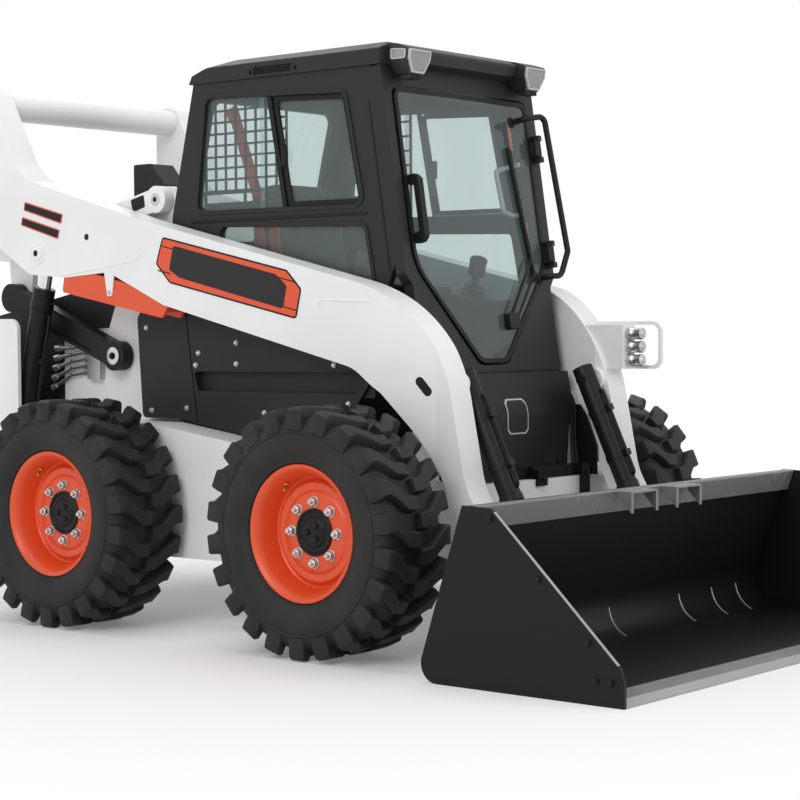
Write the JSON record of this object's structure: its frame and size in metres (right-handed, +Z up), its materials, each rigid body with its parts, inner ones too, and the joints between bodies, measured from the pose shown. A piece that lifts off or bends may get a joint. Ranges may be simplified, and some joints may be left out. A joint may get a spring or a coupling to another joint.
{
  "type": "skid steer loader",
  "caption": "Compact wheeled loader with an enclosed cab, vertical-path lift arms worked by links and cylinders, a quick coupler and a wide dirt bucket.",
  "frame": {"origin": "on the ground under the middle of the overall length and width", "axes": "X forward, Y to the machine's left, Z up"},
  "size_m": [3.62, 1.926, 2.069],
  "materials": {
    "white_paint": "satin white machine paint",
    "charcoal_paint": "satin charcoal machine paint",
    "black_paint": "semi-gloss black paint",
    "orange_paint": "orange-red machine paint",
    "tyre": "matt black rubber",
    "glass": "clear, faint green tint",
    "steel": "plated steel",
    "grey_paint": "worn dark grey steel",
    "seat_fabric": "black woven seat cover",
    "lamp_plastic": "black housing with clear lens",
    "red_lens": "red lens"
  },
  "bodies": {
    "chassis": {"main_frame": "white_paint", "axle_tubes": "black_paint", "uprights": "white_paint", "tail_frame": "white_paint", "engine_block": "black_paint", "engine_hood": "charcoal_paint", "side_panels": "charcoal_paint", "front_panel": "black_paint", "cab_side_right": "charcoal_paint", "cab_side_left": "charcoal_paint", "cab_front": "charcoal_paint", "cab_roof": "charcoal_paint", "cab_rear": "charcoal_paint", "cab_floor": "black_paint", "cab_glass": "glass", "rear_glass": "glass", "seat": "seat_fabric", "consoles": "black_paint", "work_lamps": "lamp_plastic", "tail_lamps": "red_lens", "window_guard": "black_paint", "hydraulic_lines": "steel"},
    "control_links": {"control_links": "black_paint"},
    "lift_arm": {"arm_right": "white_paint", "arm_left": "white_paint", "arm_tubes": "white_paint", "aux_couplers": "white_paint", "arm_support": "orange_paint"},
    "upper_links": {"upper_links": "white_paint"},
    "lift_barrels": {"lift_barrels": "black_paint"},
    "lift_rods": {"lift_rods": "steel"},
    "tilt_barrels": {"tilt_barrels": "black_paint"},
    "tilt_rods": {"tilt_rods": "steel"},
    "bucket": {"quick_coupler": "black_paint", "bucket_shell": "black_paint", "bucket_sides": "black_paint", "cutting_edge": "grey_paint", "bucket_lip": "grey_paint"},
    "door": {"door_frame": "black_paint", "door_glass": "glass", "door_fittings": "black_paint"},
    "tailgate": {"tailgate": "charcoal_paint"},
    "wheel_front_left": {"tyre_front_left": "tyre", "rim_front_left": "orange_paint"},
    "wheel_front_right": {"tyre_front_right": "tyre", "rim_front_right": "orange_paint"},
    "wheel_rear_left": {"tyre_rear_left": "tyre", "rim_rear_left": "orange_paint"},
    "wheel_rear_right": {"tyre_rear_right": "tyre", "rim_rear_right": "orange_paint"}
  },
  "joints": [
    {"name": "lift", "type": "hinge", "parent": "chassis", "child": "control_links", "pos_m": [-0.896, 0, 0.983], "axis": [0, 1, 0], "range_deg": [0, 56]},
    {"name": "arm_pivot", "type": "hinge", "parent": "control_links", "child": "lift_arm", "pos_m": [-1.506, 0, 1.214], "axis": [0, -1, 0], "range_deg": [0, 112.09]},
    {"name": "upper_link_pivot", "type": "hinge", "parent": "chassis", "child": "upper_links", "pos_m": [-0.657, 0, 1.572], "axis": [0, 1, 0], "range_deg": [0, 57.1]},
    {"name": "lift_cylinder_swing", "type": "hinge", "parent": "chassis", "child": "lift_barrels", "pos_m": [-1.414, 0, 0.45], "axis": [0, 1, 0], "range_deg": [0, 1.26]},
    {"name": "lift_rod_slide", "type": "slide", "parent": "lift_barrels", "child": "lift_rods", "axis": [0.2369, 0, 0.9715], "range_m": [0, 0.62107]},
    {"name": "bucket_tilt", "type": "hinge", "parent": "lift_arm", "child": "bucket", "pos_m": [1.03, 0, 0.178], "axis": [0, 1, 0], "range_deg": [-28, 97]},
    {"name": "tilt_cylinder_swing", "type": "hinge", "parent": "lift_arm", "child": "tilt_barrels", "pos_m": [0.765, 0, 0.894], "axis": [0, 1, 0], "range_deg": [-1.94, 0.56]},
    {"name": "tilt_rod_slide", "type": "slide", "parent": "tilt_barrels", "child": "tilt_rods", "axis": [0.4263, 0, -0.9046], "range_m": [-0.03895, 0.13492]},
    {"name": "door_hinge", "type": "hinge", "parent": "chassis", "child": "door", "pos_m": [0.63375, 0.394, 0.9333], "axis": [-0.1499, 0, 0.9887], "range_deg": [0, 90]},
    {"name": "tailgate_hinge", "type": "hinge", "parent": "chassis", "child": "tailgate", "pos_m": [-1.795, 0.346, 0.844], "axis": [0, 0, -1], "range_deg": [0, 100]},
    {"name": "wheel_front_left_spin", "type": "hinge", "parent": "chassis", "child": "wheel_front_left", "pos_m": [0.5, 0.77, 0.4155], "axis": [0, 1, 0], "continuous": true},
    {"name": "wheel_front_right_spin", "type": "hinge", "parent": "chassis", "child": "wheel_front_right", "pos_m": [0.5, -0.77, 0.4155], "axis": [0, 1, 0], "continuous": true},
    {"name": "wheel_rear_left_spin", "type": "hinge", "parent": "chassis", "child": "wheel_rear_left", "pos_m": [-0.746, 0.77, 0.4155], "axis": [0, 1, 0], "continuous": true},
    {"name": "wheel_rear_right_spin", "type": "hinge", "parent": "chassis", "child": "wheel_rear_right", "pos_m": [-0.746, -0.77, 0.4155], "axis": [0, 1, 0], "continuous": true}
  ],
  "couplings": [
    {"joint": "arm_pivot", "follows": "lift", "ratio": 2.0016},
    {"joint": "upper_link_pivot", "follows": "lift", "ratio": 1.0196},
    {"joint": "lift_cylinder_swing", "follows": "lift", "ratio": 0.022508},
    {"joint": "lift_rod_slide", "follows": "lift", "m_per_rad": 0.63544},
    {"joint": "tilt_cylinder_swing", "follows": "bucket_tilt", "ratio": -0.02},
    {"joint": "tilt_rod_slide", "follows": "bucket_tilt", "m_per_rad": 0.079693}
  ]
}
